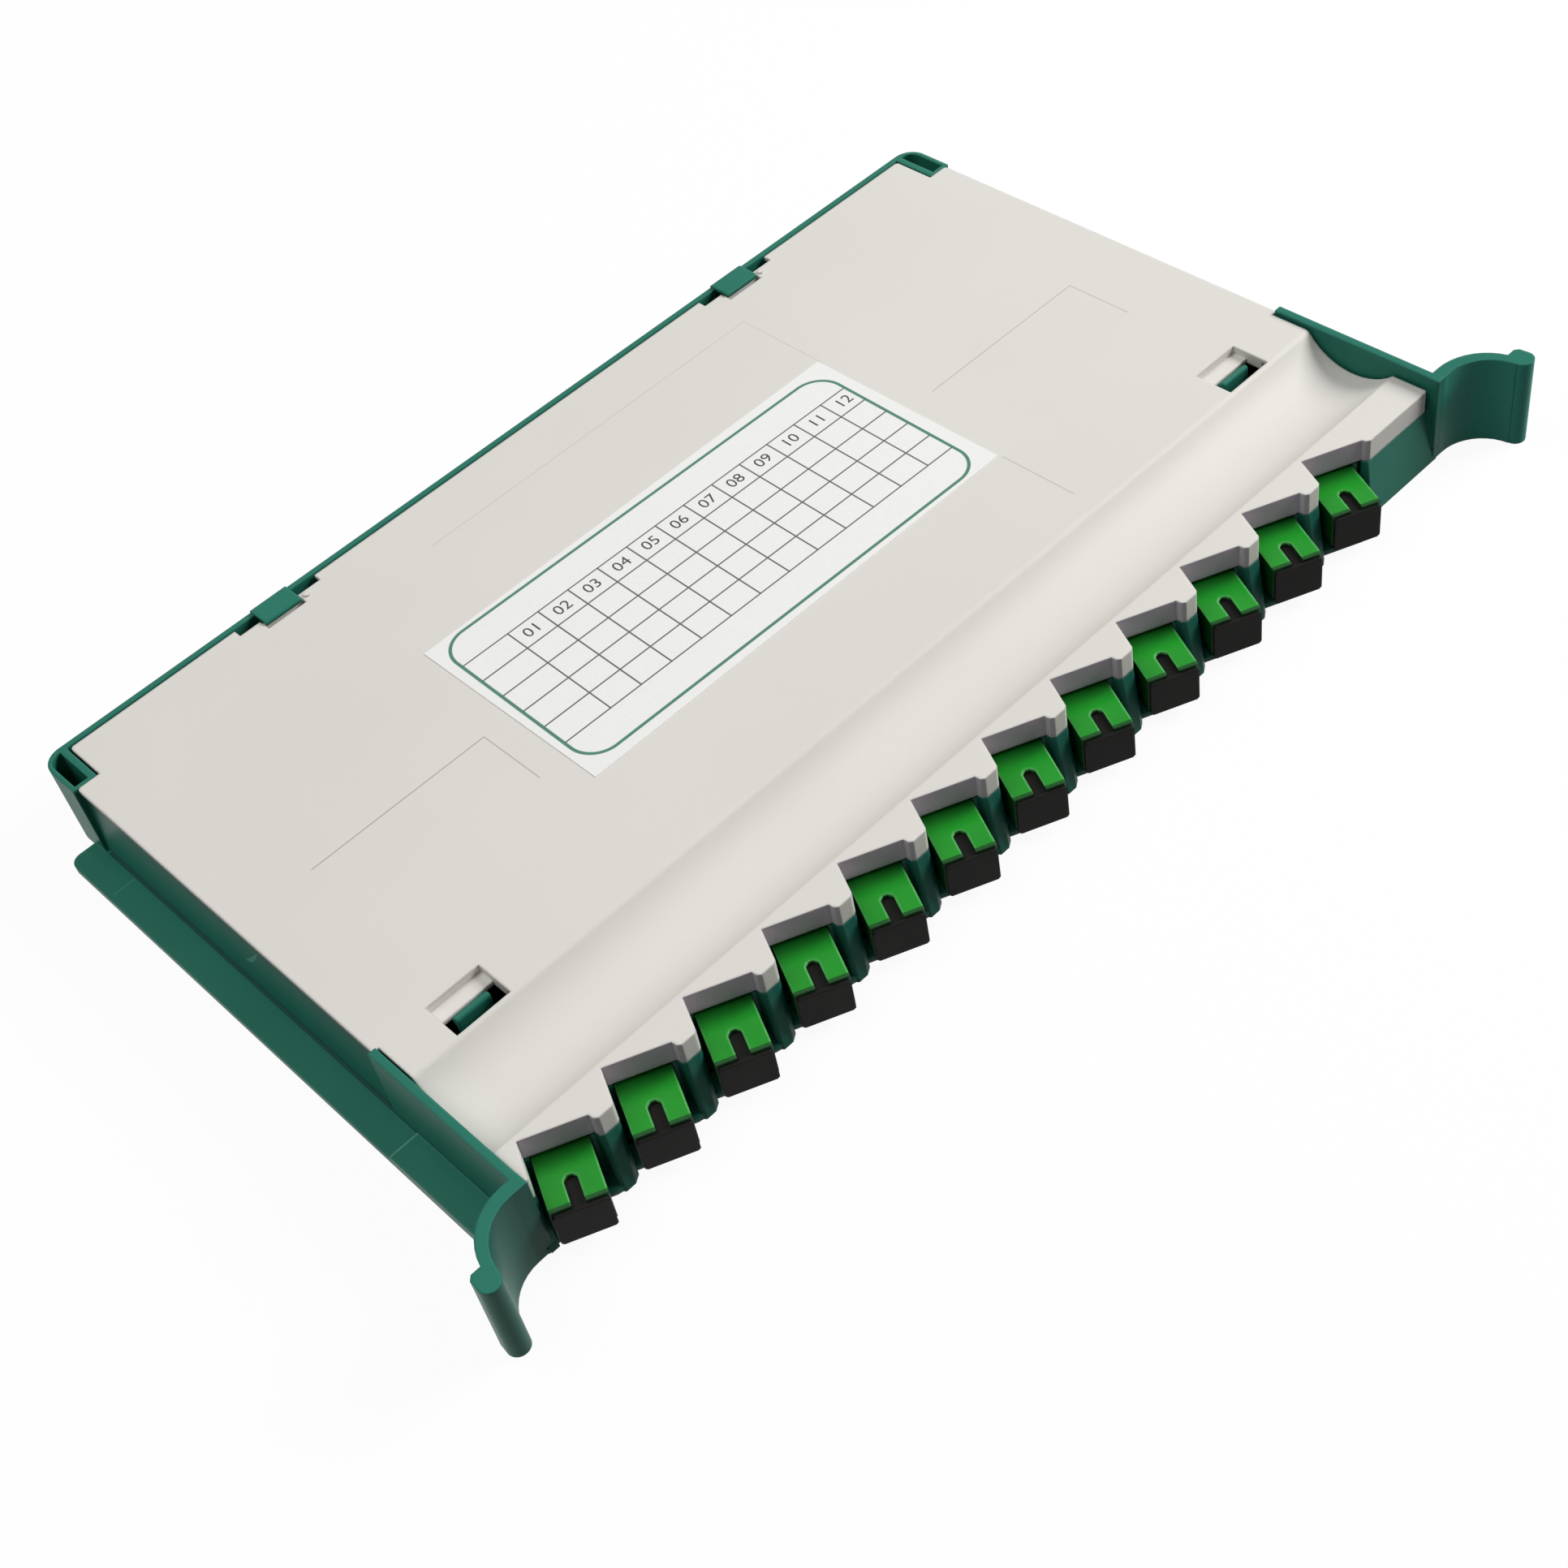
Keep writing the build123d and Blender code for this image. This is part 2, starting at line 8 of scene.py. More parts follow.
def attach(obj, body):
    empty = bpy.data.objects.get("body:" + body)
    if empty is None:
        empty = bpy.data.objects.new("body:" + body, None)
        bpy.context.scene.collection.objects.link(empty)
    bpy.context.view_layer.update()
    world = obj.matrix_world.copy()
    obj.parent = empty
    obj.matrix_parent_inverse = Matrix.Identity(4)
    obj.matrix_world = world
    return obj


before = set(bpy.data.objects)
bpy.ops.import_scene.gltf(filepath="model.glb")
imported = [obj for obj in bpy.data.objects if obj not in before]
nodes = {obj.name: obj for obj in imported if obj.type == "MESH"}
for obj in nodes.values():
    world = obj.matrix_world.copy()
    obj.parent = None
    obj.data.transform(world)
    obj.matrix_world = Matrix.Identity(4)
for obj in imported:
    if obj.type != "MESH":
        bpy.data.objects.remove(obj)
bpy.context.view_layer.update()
print("frame loaded:", len(nodes), "nodes")

mm = 0.001
portCount = 12
# the row of ports in mm: where the first one stands, the pitch, the slant, and how far to the left of each
# port its own strip of the row starts
portRow = {"firstX": -142.8, "pitch": 22.9, "y": -72.4, "turn": math.radians(25), "reachLeft": 4.77}
slantCos = math.cos(portRow["turn"])
slantSin = math.sin(portRow["turn"])


class Sock:  # one output socket, so that shader maths reads as an expression
    def __init__(self, graph, out):
        self.graph = graph
        self.out = out

    def maths(self, operation, *others):
        return self.graph.maths(operation, self, *others)

    def __add__(self, other):
        return self.maths("ADD", other)

    def __sub__(self, other):
        return self.maths("SUBTRACT", other)

    def __rsub__(self, other):
        return self.graph.maths("SUBTRACT", other, self)

    def __mul__(self, other):
        return self.maths("MULTIPLY", other)

    def __truediv__(self, other):
        return self.maths("DIVIDE", other)

    def __or__(self, other):  # the stronger of two masks
        return self.maths("MAXIMUM", other)

    def __abs__(self):
        return self.maths("ABSOLUTE")

    def __lt__(self, other):
        return self.maths("LESS_THAN", other)

    def __gt__(self, other):
        return self.maths("GREATER_THAN", other)

    __radd__ = __add__
    __rmul__ = __mul__


class Finish:  # one material, or the room's light, and the calls that fill it
    def __init__(self, name, owner=None):
        self.material = owner or bpy.data.materials.new(name)
        self.material.use_nodes = True
        self.tree = self.material.node_tree
        self.shader = self.tree.nodes.get("Principled BSDF")

    def put(self, socket, value):
        if isinstance(value, Sock):
            self.tree.links.new(value.out, socket)
        else:
            socket.default_value = value

    def node(self, kind, settings=None, values=None, output=0):
        made = self.tree.nodes.new(kind)
        for key, value in (settings or {}).items():
            setattr(made, key, value)
        pairs = values.items() if isinstance(values, dict) else enumerate(values or [])
        for key, value in pairs:
            self.put(made.inputs[key], value)
        return Sock(self, made.outputs[output])

    def maths(self, operation, *values):
        return self.node("ShaderNodeMath", {"operation": operation}, values)

    def mix(self, factor, first, second):
        made = self.tree.nodes.new("ShaderNodeMix")
        made.data_type = "RGBA"
        for place, value in ((0, factor), (6, first), (7, second)):
            self.put(made.inputs[place], (*value, 1) if isinstance(value, tuple) else value)
        return Sock(self, made.outputs[2])

    def place(self):
        return self.node("ShaderNodeTexCoord", output="Object")

    def axes(self, where):
        split = self.tree.nodes.new("ShaderNodeSeparateXYZ")
        self.put(split.inputs[0], where)
        return [Sock(self, split.outputs[i]) / mm for i in range(3)]

    def noise(self, where, scale, detail=2.0, rough=0.5):
        inputs = {"Vector": where, "Scale": scale, "Detail": detail, "Roughness": rough}
        return self.node("ShaderNodeTexNoise", None, inputs)

    def ramp(self, value, low, high, fromValue=0.0, toValue=1.0):
        return self.node(
            "ShaderNodeMapRange", {"interpolation_type": "SMOOTHSTEP"},
            {"Value": value, "From Min": low, "From Max": high, "To Min": fromValue, "To Max": toValue},
        )

    def facing(self, direction):
        # how squarely the face looks in a direction
        flat = self.node("ShaderNodeNewGeometry", output="True Normal")
        return self.node("ShaderNodeVectorMath", {"operation": "DOT_PRODUCT"}, [flat, direction], "Value")

    def surface(self, **values):
        for key, value in values.items():
            self.put(self.shader.inputs[key], value)


# what all mouldings share: the scale of the wear, how bent an edge has to be to take the paler edge colour,
# which is partly wear and partly a painted highlight, the depth of the grain
edgeSheenAndWear = {"rubScale": 140.0, "bent": 0.80, "straight": 0.995, "leastWearAndSheen": 0.35, "grainDepth": 0.00005}


def moulded(name, look):
    # injection-moulded plastic: rounded edges paler in patches, partly wear and partly a painted highlight, a
    # fine grain, a faint cloudiness of colour
    finish = Finish(name)
    where = finish.place()
    cloud = finish.noise(where, look["cloudScale"], 3.0, 0.55)
    grain = finish.noise(where, look["grainScale"], 2.0, 0.6)
    rub = finish.noise(where, edgeSheenAndWear["rubScale"], 4.0, 0.6)
    colour = finish.mix(finish.ramp(cloud, 0.3, 0.7), look["colour"], look["colourTwo"])
    rounded = finish.node("ShaderNodeBevel", {"samples": 4}, {"Radius": look["edge"]})
    wearAndSheenPatches = finish.ramp(rub, 0.25, 0.65, edgeSheenAndWear["leastWearAndSheen"], 1.0)
    # paler rounded edges: a painted highlight along the edges, broken into patches like wear
    onEdge = finish.ramp(finish.facing(rounded), edgeSheenAndWear["bent"], edgeSheenAndWear["straight"], 1.0, 0.0) * wearAndSheenPatches
    colour = finish.mix(onEdge * look["wearAndSheen"], colour, look["edgeColour"])
    bump = finish.node(
        "ShaderNodeBump", None,
        {"Strength": look["grain"], "Distance": edgeSheenAndWear["grainDepth"], "Height": grain, "Normal": rounded},
    )
    rough = look["rough"] + (cloud - 0.5) * look["roughSpread"] + (rub - 0.5) * look["roughSpread"]
    finish.surface(**{"Base Color": colour, "Roughness": rough, "Normal": bump, "IOR": 1.47})
    finish.surface(**{"Coat Weight": look.get("coat", 0.0), "Coat Roughness": look.get("coatRough", 0.1)})
    finish.surface(**{"Specular IOR Level": look["gloss"]})
    return finish, colour, where


trayLook = {
    "colour": (0.023, 0.176, 0.124), "colourTwo": (0.019, 0.156, 0.111), "cloudScale": 18.0,
    "grainScale": 2600.0, "grain": 0.25, "edge": 0.0009, "rough": 0.40, "roughSpread": 0.10, "gloss": 0.12,
    "edgeColour": (0.055, 0.30, 0.215), "wearAndSheen": 0.55,
    # the rails in mm: the strip that takes marks, the top of the thin stretch, and where and how far it steps
    "railInner": 150.6, "railOuter": 157.0, "railLimit": 2.4, "railTop": 2.22, "stepY": -42.0, "stepUp": 1.2,
    # faint parting line across each rail: how far back it lies, its widths and its strength
    "partingY": 69.1, "partingCore": 0.05, "partingHalf": 0.18, "parting": 0.6,
    "partingColour": (0.06, 0.27, 0.20),
    # painted shadow: each side wall is painted darker towards the top of its rear stretch, under the lid's
    # edge, and painted shade darkens the crease over the rail
    "wallInner": 147.6, "wallOuter": 150.45, "wallBack": 81.0, "wallFront": -34.0, "wallTop": 22.65,
    "shadeFrom": 11.0, "shadeTo": 22.0, "wallDark": 0.75,
    "creaseFrom": 0.2, "creaseTo": 1.1, "creaseUnder": -0.06, "rootDark": 1.0,
    # painted shade: the webs between the ports are painted dark below the lid's lip
    "webFront": -72.6, "webMiddle": -8.5, "webHalf": 131.5, "webTop": 14.95, "webDark": 0.55,
    # painted shade on the left ear's hollow side, and painted light making the right one a little lighter
    # below its top
    "earInner": 146.0, "hollowFacing": (0.5, -0.866, 0.0), "hollowDark": 0.7,
    "litFrom": 151.0, "litTop": 24.9, "earLit": 0.55, "litColour": (0.045, 0.32, 0.25),
    "trayShadeColour": (0.010, 0.070, 0.055),
    # painted highlights: a pale slanting crescent on each side wall, and the pale edge of the rail's step
    "crescentY": 16.3, "crescentZ": 13.2, "crescentHalf": 4.1, "crescentFall": -4.2, "crescentThick": 0.8,
    "stepEdgeLow": 3.3, "stepEdgeHigh": 3.5, "stepEdgeHalf": 0.2,
    "pale": 0.5, "paintedHighlightColour": (0.20, 0.52, 0.42),
}


def shadeTray():
    finish, colour, where = moulded("trayPlastic", trayLook)
    look = trayLook
    across, along, height = finish.axes(where)
    outFromMiddle = abs(across)

    acrossRail = (outFromMiddle > look["railInner"]) * (outFromMiddle < look["railOuter"])
    fromParting = abs(along - look["partingY"])
    parting = finish.ramp(fromParting, look["partingCore"], look["partingHalf"] * 2, 1.0, 0.0)
    onRail = acrossRail * (height < look["railLimit"])
    colour = finish.mix(parting * onRail * look["parting"], colour, look["partingColour"])

    acrossWall = (outFromMiddle > look["wallInner"]) * (outFromMiddle < look["wallOuter"])
    onWall = acrossWall * (along < look["wallBack"])
    rising = finish.ramp(height, look["shadeFrom"], look["shadeTo"]) * (height < look["wallTop"])
    shadowUnderLidEdge = rising * (along > look["wallFront"]) * look["wallDark"]
    overRail = height - (along < look["stepY"]) * look["stepUp"] - look["railTop"]
    crease = finish.ramp(overRail, look["creaseFrom"], look["creaseTo"], 1.0, 0.0)
    creaseShade = crease * (overRail > look["creaseUnder"]) * look["rootDark"]
    # painted shade on the webs below the lid's lip, between the adapters
    inFront = along < look["webFront"]
    shadeUnderLip = (abs(across - look["webMiddle"]) < look["webHalf"]) * (height < look["webTop"])
    webShade = inFront * shadeUnderLip * look["webDark"]
    onEar = inFront * (outFromMiddle > look["earInner"])
    hollow = finish.ramp(finish.facing(look["hollowFacing"]), 0.35, 0.8)
    hollowShade = hollow * onEar * (across < 0.0) * look["hollowDark"]
    # painted light: the right ear a little lighter below its top
    rightEarLight = onEar * (across > look["litFrom"]) * (height < look["litTop"])
    colour = finish.mix(rightEarLight * look["earLit"], colour, look["litColour"])
    # painted shade: the side walls under the lid's edge and in the crease over the rail, the webs, and the
    # left ear's hollow
    colour = finish.mix(onWall * (shadowUnderLidEdge | creaseShade) | webShade | hollowShade, colour, look["trayShadeColour"])

    # the crescent is the strip about a parabola over the wall's length, thickest in its middle
    fromMark = (along - look["crescentY"]) / look["crescentHalf"]
    markHeight = fromMark * fromMark + fromMark * look["crescentFall"] + look["crescentZ"]
    markThick = (fromMark * fromMark * -1.0 + 1.0) * look["crescentThick"]
    crescent = (abs(height - markHeight) < markThick) * onWall
    stepHalf = look["stepEdgeHalf"]
    atStep = (abs(along - look["stepY"] + stepHalf) < stepHalf) * (outFromMiddle > look["railInner"])
    stepEdge = atStep * (height > look["stepEdgeLow"]) * (height < look["stepEdgeHigh"])
    # painted highlights on the crescent and on the edge of the rail's step
    colour = finish.mix((crescent | stepEdge) * look["pale"], colour, look["paintedHighlightColour"])
    finish.surface(**{"Base Color": colour})
    return finish


trayFinish = shadeTray()
print("tray finish made")

adapterLook = {
    "colour": (0.014, 0.290, 0.020), "colourTwo": (0.010, 0.250, 0.017), "cloudScale": 60.0,
    "grainScale": 1800.0, "grain": 0.06, "edge": 0.0010, "rough": 0.26, "roughSpread": 0.08,
    "coat": 0.04, "coatRough": 0.08, "gloss": 0.20, "edgeColour": (0.24, 0.72, 0.28), "wearAndSheen": 0.9,
    # painted shade: the flanks and the last millimetre before the cap are painted dark, and the top is
    # painted darker towards the lip as a painted shadow
    "adapterShadeColour": (0.003, 0.030, 0.008), "flankDark": 0.85,
    "bandStart": 12.95, "bandSoft": 0.1, "bandDark": 0.8,
    "lipBack": -1.6, "lipEdge": 0.5, "lipReach": 6.5, "lipDark": 0.62,
}


def shadeAdapter():
    finish, colour, where = moulded("adapterPlastic", adapterLook)
    look = adapterLook
    # how far out of its own port a point lies, in mm, whichever of the row's ports it belongs to
    across, along, _ = finish.axes(where)
    shifted = across - (portRow["firstX"] - portRow["reachLeft"])
    steps = (shifted / portRow["pitch"]).maths("FLOOR")
    own = shifted - steps * portRow["pitch"] - portRow["reachLeft"]
    outward = (own * slantSin + (along - portRow["y"]) * slantCos) * -1.0

    # painted shade on the flanks and on the front band, painted shadow on the top under the lid's lip
    flank = finish.ramp(abs(finish.facing((slantCos, -slantSin, 0.0))), 0.8, 0.95) * look["flankDark"]
    band = finish.ramp(outward, look["bandStart"] - look["bandSoft"], look["bandStart"] + look["bandSoft"])
    shadeUnderLip = finish.ramp(outward, look["lipEdge"], look["lipReach"], 1.0, 0.0) * (outward > look["lipBack"])
    adapterPaintedShade = flank | band * look["bandDark"] | shadeUnderLip * look["lipDark"]
    finish.surface(**{"Base Color": finish.mix(adapterPaintedShade, colour, look["adapterShadeColour"])})
    return finish


adapterFinish = shadeAdapter()

capLook = {
    "colour": (0.0085, 0.0085, 0.0072), "colourTwo": (0.006, 0.006, 0.0052), "cloudScale": 90.0,
    "grainScale": 3000.0, "grain": 0.3, "edge": 0.0007, "rough": 0.50, "roughSpread": 0.12, "gloss": 0.10,
    "edgeColour": (0.040, 0.042, 0.036), "wearAndSheen": 0.75,
}
holderLook = {
    "colour": (0.50, 0.51, 0.50), "colourTwo": (0.45, 0.46, 0.46), "cloudScale": 40.0,
    "grainScale": 2500.0, "grain": 0.2, "edge": 0.0003, "rough": 0.5, "roughSpread": 0.1, "gloss": 0.5,
    "edgeColour": (0.62, 0.63, 0.62), "wearAndSheen": 0.4,
}
insertLook = {
    "colour": (0.66, 0.62, 0.50), "colourTwo": (0.60, 0.57, 0.46), "cloudScale": 80.0,
    "grainScale": 2500.0, "grain": 0.15, "edge": 0.0002, "rough": 0.45, "roughSpread": 0.1, "gloss": 0.5,
    "edgeColour": (0.75, 0.72, 0.60), "wearAndSheen": 0.4,
}
sleeveLook = {
    "colour": (0.82, 0.82, 0.79), "colourTwo": (0.78, 0.78, 0.75), "cloudScale": 200.0,
    "grainScale": 4000.0, "grain": 0.05, "edge": 0.0001, "rough": 0.18, "roughSpread": 0.05, "gloss": 0.5,
    "edgeColour": (0.88, 0.88, 0.85), "wearAndSheen": 0.3,
}
capFinish, _, _ = moulded("capPlastic", capLook)
holderFinish, _, _ = moulded("holderPlastic", holderLook)
insertFinish, _, _ = moulded("insertPlastic", insertLook)
sleeveFinish, _, _ = moulded("sleeveCeramic", sleeveLook)
print("small mouldings' finishes made")

lidLook = {
    "colour": (0.72, 0.69, 0.65), "colourTwo": (0.695, 0.67, 0.63), "cloudScale": 9.0,
    "grainScale": 2200.0, "grain": 0.22, "edge": 0.0009, "rough": 0.55, "roughSpread": 0.08, "gloss": 0.4,
    "edgeColour": (0.80, 0.78, 0.74), "wearAndSheen": 0.5,
    # thin dark lines on the flat top: x0, y0, x1, y1 in mm and how dark the line is
    "sinkMarks": [
        (-127.6, 16.8, -77.2, 16.8, 0.62), (-77.2, -3.2, -77.2, 16.8, 0.50),
        (74.4, 16.8, 127.5, 16.8, 0.42), (127.5, -3.2, 127.5, 16.8, 0.42),
        (-43.3, 78.8, 66.0, 78.8, 0.22), (65.9, 48.8, 65.9, 78.8, 0.22),
        (66.0, -37.7, 66.0, -14.8, 0.38),
    ],
    "markWidth": 0.16, "markColour": (0.20, 0.19, 0.18), "flatTop": 23.5,
    # painted shade: the lip's faces over the ports, and the short ones between them, are painted darker and
    # cooler, a violet-grey tint against the green light bounced from the adapters
    "recessFacing": (-0.4226, -0.9063, 0.0), "recessDark": 0.85,
    "jogFacing": (-0.94, -0.34, 0.0), "jogDark": 0.7,
    "lipFront": -60, "lipShadeColour": (0.53, 0.40, 0.56),
}


def shadeLid():
    finish, colour, where = moulded("lidPlastic", lidLook)
    look = lidLook
    across, along, height = finish.axes(where)
    marks = None
    for x0, y0, x1, y1, dark in look["sinkMarks"]:
        gapX = abs(across - (x0 + x1) / 2) - (x1 - x0) / 2
        gapY = abs(along - (y0 + y1) / 2) - (y1 - y0) / 2
        line = finish.ramp(gapX | gapY, look["markWidth"] * 0.4, look["markWidth"] * 1.6, dark, 0.0)
        marks = marks | line if marks else line
    colour = finish.mix(marks * (height > look["flatTop"]), colour, look["markColour"])
    # painted shade on the lip's faces over the ports and between them, tinted violet-grey against the green
    # bounce light
    recess = finish.ramp(finish.facing(look["recessFacing"]), 0.94, 0.98) * look["recessDark"]
    jog = finish.ramp(finish.facing(look["jogFacing"]), 0.75, 0.88) * look["jogDark"]
    lipPaintedShade = (recess | jog) * (along < look["lipFront"])
    finish.surface(**{"Base Color": finish.mix(lipPaintedShade, colour, look["lipShadeColour"])})
    return finish


lidFinish = shadeLid()
print("lid finish made")

labelLook = {
    "paper": (0.85, 0.85, 0.83), "paperTwo": (0.83, 0.83, 0.81), "fibreScale": 900.0, "ink": 0.96,
    "green": (0.012, 0.155, 0.085), "black": (0.018, 0.018, 0.02), "blot": (0.05, 0.05, 0.052),
    # the printed frame and table in mm, and the soft rim of every printed line
    "borderCentre": (-2.4, 18.1), "borderHalf": (64.0, 29.2), "borderRadius": 7.6, "borderWidth": 0.9,
    "rowTop": 37.6, "rowPitch": 7.75, "rowCount": 6, "columnStart": -52.3, "columnPitch": 9.56,
    "lineWidth": 0.42, "soft": 0.12, "turn": -1.0, "digitSize": 4.9, "inkHeight": 24.17,
}
centreX, centreY = labelLook["borderCentre"]
labelTurn = math.radians(labelLook["turn"])
tableTop = labelLook["rowTop"] - centreY
tableLeft = labelLook["columnStart"] - centreX


def shadeLabel():
    finish = Finish("labelPaper")
    look = labelLook
    rowPitch, columnPitch = look["rowPitch"], look["columnPitch"]
    centre = (centreX * mm, centreY * mm, 0)
    turned = finish.node(
        "ShaderNodeMapping", {"vector_type": "TEXTURE"},
        {"Vector": finish.place(), "Location": centre, "Rotation": (0, 0, labelTurn)},
    )
    across, along, _ = finish.axes(turned)

    def printed(gap, half):
        return finish.ramp(gap, half - look["soft"], half + look["soft"], 1.0, 0.0)

    # distance from the frame's rounded outline, less than nothing inside it
    halfX, halfY = look["borderHalf"]
    radius = look["borderRadius"]
    pastX = (abs(across) - (halfX - radius)) | 0.0
    pastY = (abs(along) - (halfY - radius)) | 0.0
    square = (abs(across) - halfX) | (abs(along) - halfY)
    rounded = (pastX * pastX + pastY * pastY).maths("SQRT") - radius
    isCorner = (pastX > 0.0001) * (pastY > 0.0001)
    edgeGap = square + (rounded - square) * isCorner
    border = printed(abs(edgeGap), look["borderWidth"] / 2)

    halfLine = look["lineWidth"] / 2
    fromTop = tableTop - along
    fromLeft = across - tableLeft
    rowGap = abs(fromTop - (fromTop / rowPitch).maths("ROUND") * rowPitch)
    columnGap = abs(fromLeft - (fromLeft / columnPitch).maths("ROUND") * columnPitch)
    inRows = (fromTop > -halfLine) * (fromTop < (look["rowCount"] - 1) * rowPitch + halfLine)
    inColumns = (fromLeft > -halfLine) * (fromLeft < (portCount - 0.5) * columnPitch)
    rowLine = printed(rowGap, halfLine) * inRows * (edgeGap < 0.0)
    columnLine = printed(columnGap, halfLine) * inRows * inColumns

    fibres = finish.noise(finish.place(), look["fibreScale"], 4.0, 0.6)
    colour = finish.mix(finish.ramp(fibres, 0.35, 0.65), look["paper"], look["paperTwo"])
    colour = finish.mix((rowLine | columnLine) * look["ink"], colour, look["black"])
    colour = finish.mix(border * look["ink"], colour, look["green"])
    bump = finish.node("ShaderNodeBump", None, {"Strength": 0.08, "Distance": 0.00003, "Height": fibres})
    finish.surface(**{"Base Color": colour, "Roughness": 0.42 + fibres * 0.1, "Normal": bump})
    finish.surface(**{"Coat Weight": 0.15, "Coat Roughness": 0.25})
    return finish


def newPiece(name, shape, finish):
    # a finished bmesh as an object at the origin
    mesh = bpy.data.meshes.new(name)
    shape.to_mesh(mesh)
    shape.free()
    mesh.materials.append(finish.material)
    piece = bpy.data.objects.new(name, mesh)
    bpy.context.scene.collection.objects.link(piece)
    return piece


def numberPrint():
    # plain numbers 01 to 12 in the head of the table, as thin ink
    look = labelLook
    centre = Matrix.Translation((centreX * mm, centreY * mm, look["inkHeight"] * mm))
    turned = centre @ Matrix.Rotation(labelTurn, 4, "Z")
    ink = bmesh.new()
    for count in range(portCount):
        curve = bpy.data.curves.new("digits", "FONT")
        curve.body = f"{count + 1:02d}"
        curve.size = look["digitSize"] * mm
        curve.align_x = "CENTER"
        curve.align_y = "CENTER"
        curve.resolution_u = 3
        holder = bpy.data.objects.new("digits", curve)
        bpy.context.scene.collection.objects.link(holder)
        bpy.context.view_layer.update()
        digits = bpy.data.meshes.new_from_object(holder.evaluated_get(bpy.context.evaluated_depsgraph_get()))
        cellX = tableLeft + (count + 0.5) * look["columnPitch"]
        cellY = tableTop - look["rowPitch"] / 2
        digits.transform(turned @ Matrix.Translation((cellX * mm, cellY * mm, 0)))
        ink.from_mesh(digits)
        bpy.data.objects.remove(holder)
    black = Finish("numberInk")
    colour = black.mix(black.noise(black.place(), 1500.0), (0.02, 0.02, 0.022), look["blot"])
    black.surface(**{"Base Color": colour, "Roughness": 0.5})
    piece = newPiece("columnNumbers", ink, black)
    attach(piece, "lid_unit")


labelFinish = shadeLabel()
numberPrint()
print("label printed")

# one stretch of floor under an adapter, in mm across the port and out of it, with its far right corner cut
sillLook = {"thick": 1.6, "left": -0.4, "right": 13.0, "back": 5.0, "front": 11.8, "cut": 2.2}


def floorSills():
    # the floor's stretch under each adapter, from the tray's edge out to just behind the cap
    look = sillLook
    across = Vector((slantCos, -slantSin, 0)) * mm
    out = Vector((-slantSin, -slantCos, 0)) * mm
    outline = [
        (look["left"], look["back"]), (look["left"], look["front"]),
        (look["right"] - look["cut"], look["front"]), (look["right"], look["front"] - look["cut"]),
        (look["right"], look["back"]),
    ]
    sills = bmesh.new()
    for count in range(portCount):
        corner = Vector(((portRow["firstX"] + portRow["pitch"] * count) * mm, portRow["y"] * mm, 0))
        sole = sills.faces.new([sills.verts.new(corner + across * u + out * v) for u, v in outline])
        raised = bmesh.ops.extrude_face_region(sills, geom=[sole])["geom"]
        tops = [part for part in raised if isinstance(part, bmesh.types.BMVert)]
        bmesh.ops.translate(sills, verts=tops, vec=(0, 0, look["thick"] * mm))
    bmesh.ops.recalc_face_normals(sills, faces=sills.faces)
    piece = newPiece("floorSills", sills, trayFinish)
    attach(piece, "tray_unit")


floorSills()
print("floor sills made")

finishOf = {
    "tray": trayFinish, "lid": lidFinish, "index_label": labelFinish, "splice_holder": holderFinish,
    "ceramic_sleeves": sleeveFinish, "adapter": adapterFinish, "latch_insert": insertFinish,
    "outer_cap": capFinish, "inner_cap": capFinish,
}
for name, node in nodes.items():
    plain = name if name in finishOf else name[:-3]
    node.data.materials.clear()
    node.data.materials.append(finishOf[plain].material)
print("finishes assigned")

studio = {
    "floorSize": 6.0, "floorDrop": -0.0002, "floorWhite": (0.95, 0.95, 0.95),
    "floorBounce": (0.10, 0.10, 0.10), "floorGlow": 0.93, "worldStrength": 0.075,
    "key": {"spot": (1.263, -0.589, 0.975), "size": 0.8, "power": 26.0},
    "fill": {"spot": (-0.62, 0.5, 1.7), "size": 1.5, "power": 19.8},
}


def softLamp(name, look):
    # a square lamp that looks at the origin
    lamp = bpy.data.lights.new(name, "AREA")
    lamp.shape = "SQUARE"
    lamp.size = look["size"]
    lamp.energy = look["power"]
    holder = bpy.data.objects.new(name, lamp)
    spot = Vector(look["spot"])
    holder.matrix_world = Matrix.Translation(spot) @ (-spot).to_track_quat("-Z", "Y").to_matrix().to_4x4()
    bpy.context.scene.collection.objects.link(holder)


softLamp("keyLamp", studio["key"])
softLamp("fillLamp", studio["fill"])


def seenDirectly(finish):
    # 1 for what the camera, a gloss or a clear piece sees, 0 for soft light
    rays = finish.tree.nodes.new("ShaderNodeLightPath")
    camera, glossy, clear = (
        Sock(finish, rays.outputs[kind]) for kind in ("Is Camera Ray", "Is Glossy Ray", "Is Transmission Ray")
    )
    return camera | glossy | clear


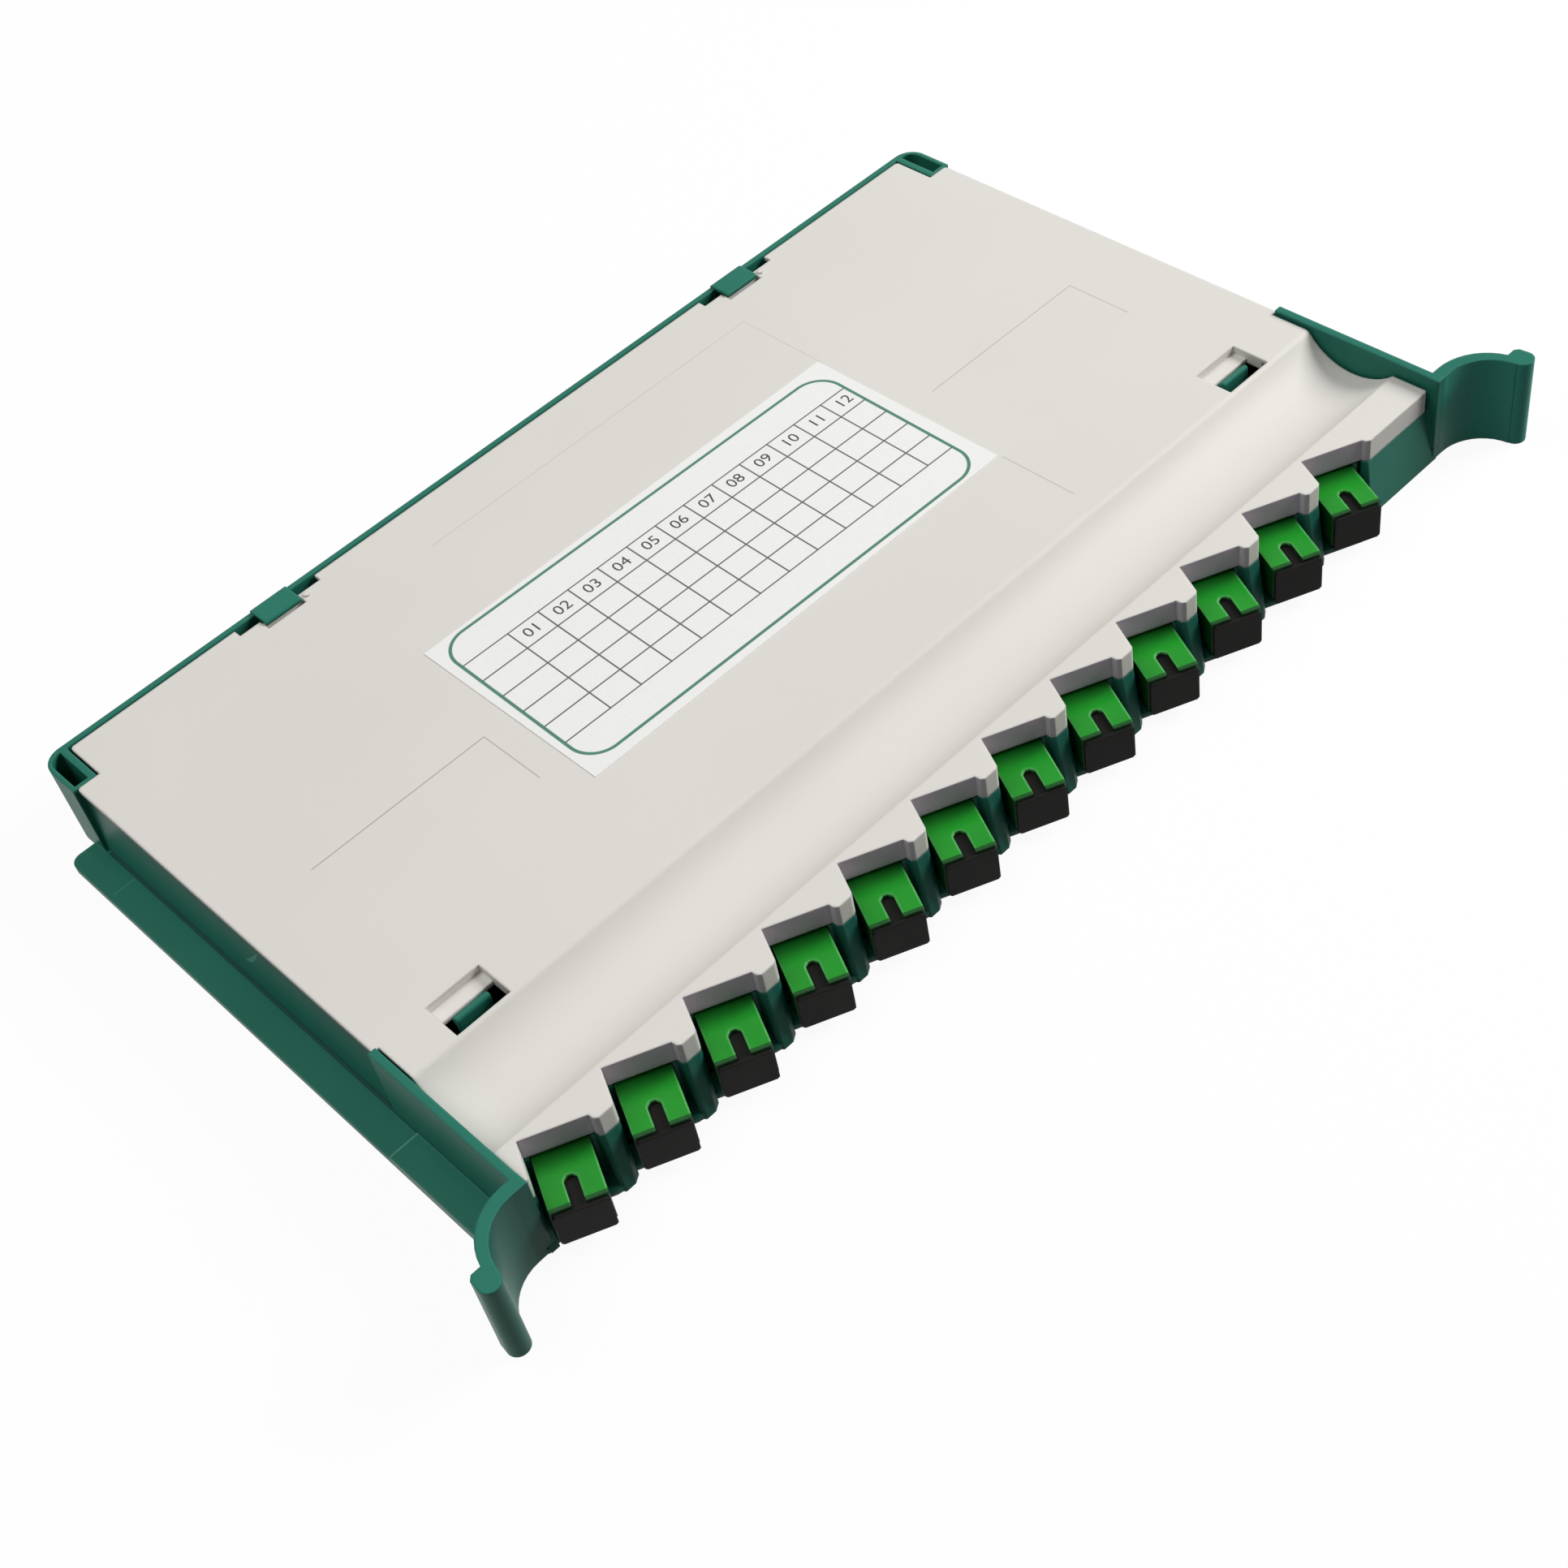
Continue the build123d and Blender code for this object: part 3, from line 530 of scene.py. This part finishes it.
def whiteFloor():
    ground = bmesh.new()
    bmesh.ops.create_grid(ground, x_segments=1, y_segments=1, size=studio["floorSize"] / 2)
    bmesh.ops.translate(ground, verts=ground.verts, vec=(0, 0, studio["floorDrop"]))
    mesh = bpy.data.meshes.new("floor")
    ground.to_mesh(mesh)
    ground.free()
    floor = bpy.data.objects.new("floor", mesh)
    bpy.context.scene.collection.objects.link(floor)
    finish = Finish("floorWhite")
    seen = seenDirectly(finish)
    colour = finish.mix(seen, studio["floorBounce"], studio["floorWhite"])
    finish.surface(**{"Base Color": colour, "Roughness": 0.9})
    paint = Sock(finish, finish.shader.outputs[0])
    glow = finish.node("ShaderNodeEmission", None, {"Color": (1, 1, 1, 1), "Strength": 1.0})
    blend = finish.node("ShaderNodeMixShader", None, [seen * studio["floorGlow"], paint, glow])
    finish.put(finish.tree.nodes["Material Output"].inputs["Surface"], blend)
    mesh.materials.append(finish.material)


def softRoom():
    world = bpy.data.worlds.new("softRoom")
    bpy.context.scene.world = world
    room = Finish("softRoom", world)
    plain = room.tree.nodes["Background"]
    room.put(plain.inputs["Color"], (1, 1, 1, 1))
    room.put(plain.inputs["Strength"], studio["worldStrength"])
    white = room.node("ShaderNodeBackground", None, {"Color": (1, 1, 1, 1), "Strength": 1.0})
    blend = room.node("ShaderNodeMixShader", None, [seenDirectly(room), Sock(room, plain.outputs[0]), white])
    room.put(room.tree.nodes["World Output"].inputs["Surface"], blend)


whiteFloor()
softRoom()
bpy.context.scene.view_settings.view_transform = "Standard"

# the camera solved on the photo: where it stands, its right-hand direction and the way it looks
view = {
    "lens": 53.23, "sensor": 36.0, "place": (-0.24213, -0.33015, 0.40150),
    "right": (0.70689, -0.69240, -0.14450), "forward": (0.38827, 0.55062, -0.73897),
}
lens = bpy.data.cameras.new("photoCamera")
lens.lens = view["lens"]
lens.sensor_width = view["sensor"]
lens.clip_start = 0.01
lens.clip_end = 20.0
camera = bpy.data.objects.new("photoCamera", lens)
right = Vector(view["right"])
forward = Vector(view["forward"])
up = right.cross(forward).normalized()
turn = Matrix((right, up, -forward)).transposed()
camera.matrix_world = Matrix.Translation(view["place"]) @ turn.to_4x4()
bpy.context.scene.collection.objects.link(camera)
bpy.context.scene.camera = camera
print("studio and camera placed")
